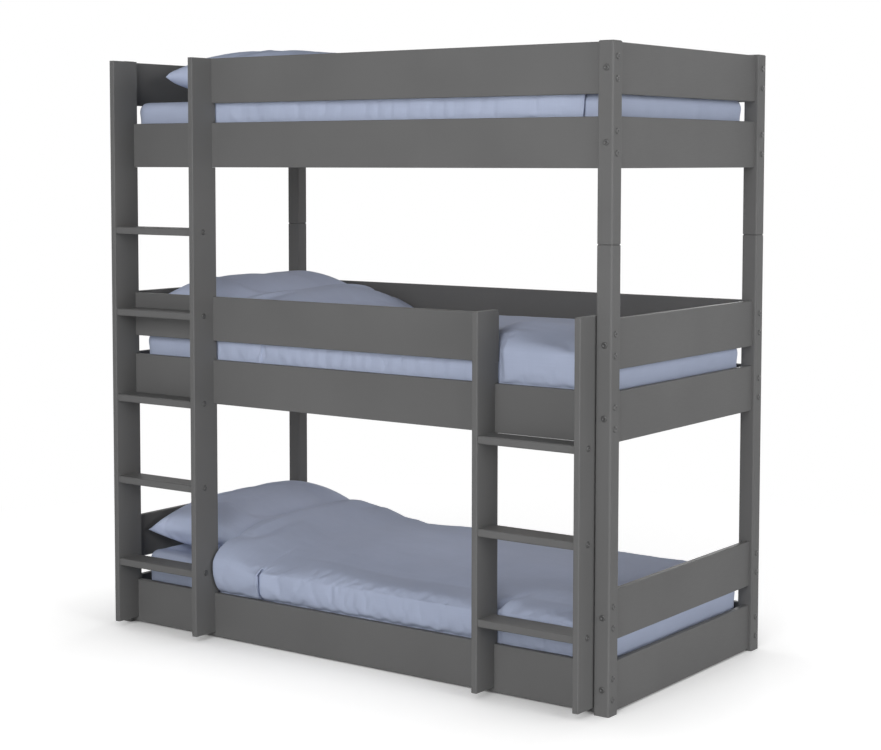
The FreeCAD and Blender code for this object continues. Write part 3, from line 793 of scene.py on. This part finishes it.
# Fold in the bottom duvet that runs in from the short ladder
DENT_DEPTH = 0.020
DENT_W = 0.013
DENT_TURN = math.radians(18)
DENT_START = (-0.06, 0.0)  # it fades in over this distance from the rail
DENT_END = (0.02, 0.17)  # and out over this one
DENT_SPAN = (0.25, 0.45)  # and out down the side
RIDGE = 0.55  # height of the ridge beside it, as a share of its depth
RIDGE_PLACE = 2.6  # in widths of the fold
RIDGE_W = 1.6

# How it settles
WAVES = 0.004  # unevenness of its filling
WAVE_SCALE = (3.2, 7.5, 4)
RELIEF_SPAN = (0.7, 0.85)  # waves and folds fade out towards the hem
DUVET_PRESSURE = 0.25
DUVET_SLACK = by_bunk(0.018, 0.008, 0.005)
DUVET_CAP = 0.009  # no point settles further than this
LOOSE_SHARE = 0.9  # of that slack on the sides
LOOSE_SPAN = (0.1, 0.35)
LOOSE_HEAD = (0.03, 0.09)  # from the head end

# Fine creases: height and rates of repeat across and along them, and where they show
RAYS = (0.0044, 2.6, 4)  # out of the band's crease
RAY_HEIGHT = 0.03  # of the place that they fan out from, over the mattress
RAY_CORE = 0.03  # they are even this near to it, and spread out beyond
RAY_SPREAD = 0.45
RAY_FADE = (0.05, 0.10)  # towards the head and the foot
RAY_GAP = (0.0, 0.012)  # none in the crease itself
LINES = (0.0026, 55, 5)  # along the shoulder, in patches
LINE_SLOPE = 0.18
LINE_SPAN = (-0.02, 0.05)  # from the crease towards the foot
PATCH_SCALE = (5, 5, 9)
PATCH_SPAN = (-0.1, 0.5)
SLANTS = (0.0017, 60, 9)  # on the band
SLANT_WAY = (0.8, 0.6)  # along the bed and up
SLANT_SPAN = (-0.03, 0.0)  # up to the crease
PUCKERS = (0.0018, 38, 6)  # over the rail
PUCKER_SPAN = (0.55, 0.75)
CRUMPLE = 0.0006  # all over
CRUMPLE_SCALE = (22, 30, 26)
CREASES_START = (0.06, 0.3)  # the others show on the sides only
CREASES_END = (0.7, 0.82)


def front_bulge(bunk, x):
    """How far the front of a duvet may stand out from the inner face of its rail."""
    left_low, left_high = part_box("short_ladder_left_stile")
    right_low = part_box("short_ladder_right_stile")[0]
    far, near = STILE_EASE
    ease_start, ease_end = OPENING_EASE
    reach = np.full(x.shape, FRONT_BULGE[bunk])
    past_left = smooth_step(left_low.x - far, left_low.x - near, x)
    reach += (min(STILE_BULGE, FRONT_BULGE[bunk]) - reach) * past_left
    opening = (smooth_step(left_high.x + ease_start, left_high.x + ease_end, x)
               * fade_out(right_low.x - ease_end, right_low.x - ease_start, x))
    return reach + (OPENING_BULGE[bunk] - reach) * opening


class Duvet:
    """A duvet over its mattress, tucked behind the rails, its head end turned back as a band."""

    def __init__(self, bunk, pillow):
        self.bunk = bunk
        self.seed = DUVET_SEED + DUVET_SEEDS * BUNKS.index(bunk)
        self.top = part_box(f"{bunk}_mattress")[1].z
        self.low, self.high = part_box(f"{bunk}_duvet")
        self.front_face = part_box(f"{bunk}_front_rail")[1].y
        self.back_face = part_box(f"{bunk}_back_rail")[0].y
        self.rail_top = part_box(f"{bunk}_front_rail")[1].z
        self.core_foot = self.high.x - FOOT_REACH
        self.band_end = self.low.x + BAND_W
        self.lay_columns()
        self.place_head()
        self.place_crease()
        self.lay_rows()
        self.bulge = self.side_bulge()
        under = height_over(pillow, self.x_core, self.y_core, self.top)
        before = height_over(pillow, self.x_core - self.nose, self.y_core, self.top)
        self.pillow_top = widen(np.maximum(under, before), COVER_CELLS)

    def lay_columns(self):
        """Columns from the front hem to the back hem."""
        front = self.front_face + CORE_INSET
        width = self.back_face - CORE_INSET - front
        shares, self.q = skirted(width, CELL)
        self.y_flat = front + shares * width
        self.t = 2 * shares - 1
        self.side = np.abs(self.q)
        self.is_front = (self.q < 0)[None, :]

    def place_head(self):
        """Where the folded head end starts in each column, and how round it is there."""
        lean = np.abs(self.t) ** LEAD_POWER * np.where(self.t < 0, 1.0, LEAD_BACK)
        self.nose = NOSE * (1 - NOSE_SLIM * lean)
        self.start = self.low.x + NOSE + LEAD[self.bunk] - LEAD_SIDE[self.bunk] * lean

    def place_crease(self):
        """Where the band's crease runs in each column, and how much of it shows there."""
        wander = sum(size * noise_on(across * self.t, down * self.q, self.seed)
                     for size, across, down in CREASE_WANDER)
        lean = CREASE_LEAN[self.bunk] * smooth_step(*LEAN_SPAN, self.side)
        self.crease = self.band_end + CREASE_SHIFT[self.bunk] + wander - lean
        full = smooth_step(*CREASE_SPAN, self.side) * np.where(self.q < 0, 1.0, CREASE_BACK)
        self.strength = full * CREASE_DEPTH[self.bunk]

    def lay_rows(self):
        """Rows from the head end over the band and its crease, down to the foot's skirt."""
        plain = np.linspace(FOLD[0, 0], FOLD[-1, 0], len(FOLD))[:, None]
        band = np.linspace(0, 1, int(BAND_W / CELL))[:-1, None]
        cloth = np.linspace(0, 1, int((self.core_foot - self.band_end) / CELL))[1:, None]
        skirt = np.linspace(0, 1, SKIRT_CELLS + 1)[1:]
        fold_x = self.crease + plain + (FOLD[:, :1] - plain) * self.strength
        band_x = self.start + band * (fold_x[0] - self.start)
        cloth_x = fold_x[-1] + cloth * (self.core_foot - fold_x[-1])
        foot_x = np.full((SKIRT_CELLS, self.start.size), self.core_foot)
        self.x_core = np.concatenate([band_x, fold_x, cloth_x, foot_x])
        self.y_core = np.broadcast_to(self.y_flat, self.x_core.shape)
        tail = FOLD[-1, 1] * self.strength * fade_out(*FOLD_TAIL, cloth)
        self.dips = np.concatenate([0 * band_x, FOLD[:, 1:] * self.strength, tail, 0 * foot_x])
        self.away = self.x_core - self.crease
        p = np.concatenate([np.zeros(len(self.x_core) - SKIRT_CELLS), skirt])
        self.deep, self.along, self.across = spread(p[:, None], self.q[None, :])
        self.at_foot = self.along ** 2
        self.lies = smooth_step(*FOOT_SPAN, self.at_foot)

    def side_bulge(self):
        """How far each side stands out from the inner face of its rail."""
        at_band = fade_out(*BAND_SPAN, self.away)
        front = front_bulge(self.bunk, self.x_core) + BAND_BULGE[self.bunk] * at_band
        return np.where(self.is_front, front, BACK_BULGE[self.bunk])

    def flat_height(self):
        """Height of the flat top, raised over the pillow, and how much it is raised."""
        run = np.maximum((self.x_core - self.low.x - NOSE) / (BAND_W - NOSE), 0)
        lift = fade_out(*BAND_FALL[self.bunk], run)
        down = smooth_step(*DOWN_SPAN, self.x_core - self.band_end)
        fall = smooth_step(self.high.x - FOOT_FALL, self.high.x, self.x_core)
        crown = CROWN[self.bunk] + (CROWN_FOOT[self.bunk] - CROWN[self.bunk]) * down
        crown = crown * (1 - FOOT_LOSS * fall) + CROWN_LIFT * lift
        edge = EDGE[self.bunk] + (EDGE_FOOT[self.bunk] - EDGE[self.bunk]) * down + EDGE_LIFT * lift
        level = 1 - np.abs(self.t)[None, :] ** (LEVEL_POWER + BAND_POWER * lift)
        free = smooth_step(*FREE_SPAN, self.x_core) * smooth_step(*FREE_ACROSS, -self.t)[None, :]
        flat = self.top + edge + (crown - edge) * level + FRONT_FULL[self.bunk] * free * (1 - fall / 2)
        softened = soften(widen(self.pillow_top, 1), COVER_STEPS)
        cover = np.maximum(softened, self.pillow_top) + COVER
        return (flat + cover + np.hypot(flat - cover, COVER_SOFT)) / 2, lift

    def sides(self, flat, lift):
        """The flat top with its shoulders, bulging sides and tucked hem."""
        by_side = 1 - self.at_foot
        reach = (CORE_INSET + self.bulge) * by_side + FOOT_REACH * self.at_foot
        ripple = noise_on(RIPPLE_RATE * self.x_core, self.is_front, self.seed + 7) * HEM_RIPPLE[self.bunk]
        neck = CORE_INSET - NECK_INSET + NECK_RIPPLE * ripple
        neck_reach = np.minimum(neck * by_side + FOOT_NECK * self.at_foot, reach)
        bulge_z = self.top + BULGE_HEIGHT + BULGE_FOOT * self.at_foot + BULGE_LIFT * lift
        neck_z = self.rail_top + NECK_RISE + NECK_RISE * ripple
        neck_z = neck_z * (1 - self.lies) + (self.top + NECK_FOOT) * self.lies
        hem_z = self.low.z * (1 - self.lies) + (self.top + ROOM) * self.lies
        over = np.clip(self.deep / SHOULDER_SHARE, 0, 1) * QUARTER
        under = np.clip((self.deep - SHOULDER_SHARE) / (NECK_SHARE - SHOULDER_SHARE), 0, 1) * QUARTER
        tuck = np.clip((self.deep - NECK_SHARE) / (1 - NECK_SHARE), 0, 1)
        out = reach * np.sin(over) - (reach - neck_reach) * (1 - np.cos(under))
        z = (bulge_z + (flat - bulge_z) * np.cos(over) - (bulge_z - neck_z) * np.sin(under)
             - (neck_z - hem_z) * tuck)
        return np.stack([self.x_core + self.along * out, self.y_core + self.across * out, z], axis=-1)

    def dent(self, points):
        """Depth of the fold that runs in over the bed from the short ladder's left stile."""
        if self.bunk != "bottom":
            return 0 * points[..., 0]
        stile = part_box("short_ladder_left_stile")[1]
        x = points[..., 0] - stile.x + DENT_W
        y = points[..., 1] - self.front_face
        inward = y * math.cos(DENT_TURN) + x * math.sin(DENT_TURN)
        beside = x * math.cos(DENT_TURN) - y * math.sin(DENT_TURN)
        fade = smooth_step(*DENT_START, inward) * fade_out(*DENT_END, inward)
        groove = np.exp(-(beside / DENT_W) ** 2)
        ridge = RIDGE * np.exp(-((beside - RIDGE_PLACE * DENT_W) / (RIDGE_W * DENT_W)) ** 2)
        return DENT_DEPTH * (ridge - groove) * fade * fade_out(*DENT_SPAN, self.deep)

    def outer(self):
        """The visible cloth: its form, settled under the filling's pressure, then its fine creases."""
        points = self.sides(*self.flat_height())
        waves = WAVES * noise_at(points, WAVE_SCALE, self.seed + 1)
        relief = (self.dips + self.dent(points) + waves) * fade_out(*RELIEF_SPAN, self.deep)
        points = points + grid_normals(points) * relief[..., None]
        held = (self.deep >= NECK_SHARE) | (self.dips < FOLD_HELD)
        held[0] = True
        faces = grid_faces(np.arange(held.size).reshape(held.shape))
        from_head = self.x_core - self.x_core[0]
        taut = 1 - LOOSE_SHARE * smooth_step(*LOOSE_SPAN, self.deep) * smooth_step(*LOOSE_HEAD, from_head)
        settled = settle(points.reshape(-1, 3), faces, held.ravel(), taut.ravel(), DUVET_PRESSURE,
                         DUVET_SLACK[self.bunk], DUVET_CAP)
        points = refine(self.keep_between_rails(settled.reshape(points.shape)))
        return points + grid_normals(points) * self.fine_creases(points)[..., None]

    def keep_between_rails(self, points):
        """Hold the sides off the guards, the stiles and the treads, and up from the rails."""
        spare = np.maximum(SPARE_SHARE * self.bulge, SPARE_LEAST)
        room = self.bulge + np.minimum(BULGE_SPARE[self.bunk], spare)
        front = np.where(self.q < 0, self.front_face - room, -np.inf)
        back = np.where(self.q > 0, self.back_face + room, np.inf)
        x, y, z = np.moveaxis(points, -1, 0)
        y = np.clip(y, front, back)
        over_rail = (y < self.front_face + ROOM) | (y > self.back_face - ROOM)
        z = np.where(over_rail, np.maximum(z, self.rail_top + RAIL_ROOM), z)
        return np.stack([x, y, z], axis=-1)

    def fine_creases(self, points):
        """Small wrinkles: rays out of the band's crease, lines on the shoulder, puckers over the rail."""
        deep, away = refine(np.stack([self.deep, self.away], axis=-1)).transpose(2, 0, 1)
        x = points[..., 0]
        up = points[..., 2] - self.top
        slant = SLANT_WAY[0] * x + SLANT_WAY[1] * up
        over_neck = fade_out(*CREASES_END, deep)
        patches = smooth_step(*PATCH_SPAN, noise_at(points, PATCH_SCALE, self.seed + 2))
        lines = self.ribs(LINES, up + LINE_SLOPE * x, x, 4) * patches * smooth_step(*LINE_SPAN, away)
        slants = self.ribs(SLANTS, slant, up, 5) * fade_out(*SLANT_SPAN, away)
        puckers = self.ribs(PUCKERS, x, up, 6) * smooth_step(*PUCKER_SPAN, deep)
        height = self.rays(up, away) + lines + slants + puckers
        crumple = CRUMPLE * noise_at(points, CRUMPLE_SCALE, self.seed + 8) * over_neck
        return height * (smooth_step(*CREASES_START, deep) * over_neck) + crumple

    def ribs(self, kind, across, along, number):
        """Long creases of one kind, which has a seed number of its own."""
        size, across_rate, along_rate = kind
        return size * noise_on(across_rate * across, along_rate * along, self.seed + number)

    def rays(self, up, away):
        """Creases that fan out from the middle of the band's crease."""
        far = np.abs(away)
        fan = (up - RAY_HEIGHT) / (RAY_CORE + RAY_SPREAD * far)
        to_head, to_foot = RAY_FADE
        near = np.exp(-far / np.where(away > 0, to_foot, to_head)) * smooth_step(*RAY_GAP, far)
        return self.ribs(RAYS, fan, away, 3) * near * CREASE_DEPTH[self.bunk]

    def inner(self):
        """The under side, clear of the pillow and the mattress."""
        under_top = np.maximum(self.top, self.pillow_top) + 2 * ROOM
        side_reach = np.interp(self.deep, UNDER_DEPTH, UNDER_REACH)
        foot_reach = np.interp(self.deep, UNDER_FOOT_DEPTH, UNDER_FOOT_REACH)
        out = side_reach * (1 - self.at_foot) + foot_reach * self.at_foot
        z = under_top - np.interp(self.deep, UNDER_DEPTH, UNDER_DROP) * (1 - self.lies)
        tuck = np.clip((self.deep - SHOULDER_SHARE) / (1 - SHOULDER_SHARE), 0, 1)
        z = z + (self.low.z - z) * tuck * (1 - self.lies)
        return np.stack([self.x_core + self.along * out, self.y_core + self.across * out, z], axis=-1)


def nose_rows(outer, inner, bulge):
    """Rows that turn from the under side round the folded head end to the visible cloth."""
    middle = (outer[0] + inner[0]) / 2
    rows = []
    for step in range(1, NOSE_ROWS):
        turn = math.pi * step / NOSE_ROWS
        rows.append(middle + (inner[0] - middle) * math.cos(turn) - bulge[:, None] * (math.sin(turn), 0, 0))
    return np.array(rows)


def close_duvet(outer, inner, bulge):
    """All rows and the faces of the closed duvet, whose visible side has twice the rows of the other."""
    sheet = np.concatenate([inner[::-1], nose_rows(outer, inner, bulge), outer])
    ids = np.arange(sheet[..., 0].size).reshape(sheet.shape[:2])
    inner_ids = ids[:len(inner)][::-1]
    outer_ids = ids[-len(outer):]
    nose_ids = ids[len(inner):-len(outer)]
    faces = grid_faces(ids) + grid_faces(np.stack([outer_ids[-1], inner_ids[-1]]))
    for column, order in ((0, 1), (-1, -1)):
        over = outer_ids[:, column].tolist()
        under = inner_ids[:, column].tolist()
        for row in range(len(inner) - 1):
            faces.append([under[row], *over[2 * row:2 * row + 3], under[row + 1]][::order])
        faces.append([under[0], *nose_ids[:, column].tolist(), over[0]][::order])
    return sheet, faces


def path_length(line):
    """Distance along a line of points at each of them."""
    return np.cumsum(np.linalg.norm(np.diff(line, axis=0, prepend=line[:1]), axis=1))


def make_duvet(bunk, pillow, material):
    """A duvet with its flat cloth map."""
    form = Duvet(bunk, pillow)
    inner = form.inner()
    outer = form.outer()
    bulge = np.interp(np.linspace(0, 1, outer.shape[1]), np.linspace(0, 1, form.nose.size), form.nose)
    sheet, faces = close_duvet(outer, refine(inner)[::2], bulge)
    middle = sheet.shape[1] // 2
    flat = np.meshgrid(path_length(sheet[:, middle]), path_length(outer[len(outer) // 2]), indexing="ij")
    piece = make_piece(f"{bunk}_duvet_soft", sheet.reshape(-1, 3), faces, material,
                       np.stack(flat, axis=-1).reshape(-1, 2))
    finish_soft(piece, f"{bunk}_duvet")


def make_floor():
    """A plain pale floor that takes the bed's shadow, and is seen as plain white further off."""
    m = Nodes(bpy.data.materials.new("floor"))
    seen = m.seen()
    open_sky = m.add("ShaderNodeAmbientOcclusion", {"Distance": FLOOR_SHADE}, samples=8).outputs["AO"]
    level = m.calc("MULTIPLY", m.calc("MULTIPLY", seen, open_sky), FLOOR_GLOW)
    glow = m.add("ShaderNodeEmission", {"Color": WHITE, "Strength": level})
    colour = m.blend(m.noise(m.coords("Object"), scale=40.0), rgba(FLOOR_COLOUR), rgba(FLOOR_SPECKLE))
    m.finish(Base_Color=colour, Roughness=0.9, Specular_IOR_Level=0.1)
    both = m.add("ShaderNodeAddShader", {0: m.shader.outputs["BSDF"], 1: glow.outputs["Emission"]})
    distance = m.add("ShaderNodeVectorMath", {0: m.coords("Object")}, operation="LENGTH").outputs["Value"]
    far = m.calc("MULTIPLY", seen, m.span(distance, 0.0, 1.0, start=FLOOR_NEAR, end=FLOOR_FAR))
    white = m.add("ShaderNodeEmission", {"Color": WHITE, "Strength": 1.0})
    mixed = m.add("ShaderNodeMixShader", {0: far, 1: both.outputs["Shader"], 2: white.outputs["Emission"]})
    m.put(m.tree.nodes["Material Output"], "Surface", mixed.outputs["Shader"])
    corners = [(sx * FLOOR_REACH, sy * FLOOR_REACH, 0) for sx, sy in ((-1, -1), (1, -1), (1, 1), (-1, 1))]
    floor = make_piece("floor", corners, [(0, 1, 2, 3)], m.owner)


def make_world():
    """A little even light, seen as plain white."""
    world = bpy.data.worlds.new("studio")
    w = Nodes(world)
    backdrop = w.tree.nodes["Background"]
    w.put(backdrop, "Color", WHITE)
    w.put(backdrop, "Strength", w.span(w.seen(), low=SKY_LEVEL, high=1.0))
    bpy.context.scene.world = world


def make_lamp(name, azimuth, elevation, size, level):
    """A square soft lamp, aimed at the middle of the bed."""
    turn = math.radians(azimuth)
    rise = math.radians(elevation)
    out = Vector((math.sin(turn) * math.cos(rise), -math.cos(turn) * math.cos(rise), math.sin(rise)))
    data = bpy.data.lights.new(name, "AREA")
    data.size = size
    data.energy = level * (math.pi * LAMP_DISTANCE) ** 2
    lamp = add_object(name, data)
    lamp.location = LAMP_AIM + out * LAMP_DISTANCE
    lamp.rotation_euler = out.to_track_quat("Z", "Y").to_euler()


def make_camera():
    """The photograph's view."""
    data = bpy.data.cameras.new("camera")
    data.lens = CAMERA_LENS
    data.shift_x, data.shift_y = CAMERA_SHIFT
    camera = add_object("camera", data)
    camera.location = CAMERA_PLACE
    camera.rotation_euler = (QUARTER - CAMERA_PITCH, 0, CAMERA_YAW)
    bpy.context.scene.camera = camera


dress_frame()
make_bolts(cap_plastic())
linen = cotton("bed_linen", COTTON_PALE, COTTON)
sheet_cotton = cotton("fitted_sheet", COTTON_PALE, COTTON)
# the pillows take the lighter copy of the cotton, painted light for the shade round them
pillow_cotton_lit = cotton("pillowcase", PILLOW_COTTON_LIT_PALE, PILLOW_COTTON_LIT)
for bunk_name in BUNKS:
    make_mattress(bunk_name, sheet_cotton)
    soft_pillow = make_pillow(bunk_name, pillow_cotton_lit)
    make_duvet(bunk_name, soft_pillow, linen)
make_floor()
make_world()
for lamp_name, lamp_values in LAMPS.items():
    make_lamp(lamp_name, *lamp_values)
make_camera()
bpy.context.scene.view_settings.view_transform = "Standard"
